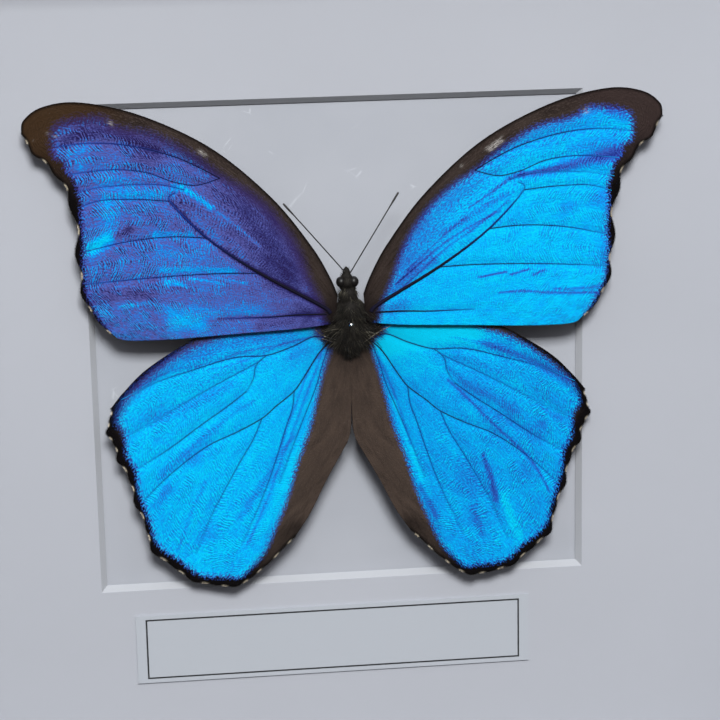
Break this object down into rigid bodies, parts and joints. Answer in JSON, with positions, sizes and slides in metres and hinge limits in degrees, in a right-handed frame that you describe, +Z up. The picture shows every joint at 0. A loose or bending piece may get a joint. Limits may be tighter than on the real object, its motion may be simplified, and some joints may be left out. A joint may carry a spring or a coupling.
{
  "type": "framed butterfly specimen",
  "caption": "Spread blue butterfly pinned over a bevel-cut window mat behind glass in a square black box frame, with a blank bordered label and a sawtooth hanger.",
  "frame": {"origin": "middle of the ground that the frame covers, on the underside of the bottom rail", "axes": "+Z up the picture, -Y out of the glass towards the viewer, +X to the viewer's right"},
  "size_m": [0.25, 0.037, 0.25],
  "materials": {
    "frame_wood": "black satin paint over fine grain",
    "pane_glass": "clear float glass",
    "white_board": "matt white board with a cool cast",
    "label_paper": "matt paper with a thin printed border",
    "hardboard": "pressed brown fibre board",
    "zinc_steel": "zinc plated",
    "pin_steel": "polished wire",
    "insect_body": "dark hair over horn",
    "insect_wing": "iridescent blue scales with dark brown borders",
    "insect_horn": "dull black horn"
  },
  "bodies": {
    "root": {"rail_top": "frame_wood", "rail_bottom": "frame_wood", "rail_left": "frame_wood", "rail_right": "frame_wood", "glass_pane": "pane_glass", "spacer_top": "white_board", "spacer_bottom": "white_board", "spacer_left": "white_board", "spacer_right": "white_board", "mat_board": "white_board", "specimen_panel": "white_board", "label_card": "label_paper", "back_board": "hardboard", "tab_top_1": "zinc_steel", "tab_top_2": "zinc_steel", "tab_bottom_1": "zinc_steel", "tab_bottom_2": "zinc_steel", "tab_left_1": "zinc_steel", "tab_left_2": "zinc_steel", "tab_right_1": "zinc_steel", "tab_right_2": "zinc_steel", "sawtooth_hanger": "zinc_steel", "hanger_nail_1": "zinc_steel", "hanger_nail_2": "zinc_steel", "butterfly_body": "insect_body", "setting_pin": "pin_steel", "forewing_left": "insect_wing", "forewing_right": "insect_wing", "hindwing_left": "insect_wing", "hindwing_right": "insect_wing", "antenna_left": "insect_horn", "antenna_right": "insect_horn"}
  },
  "joints": []
}
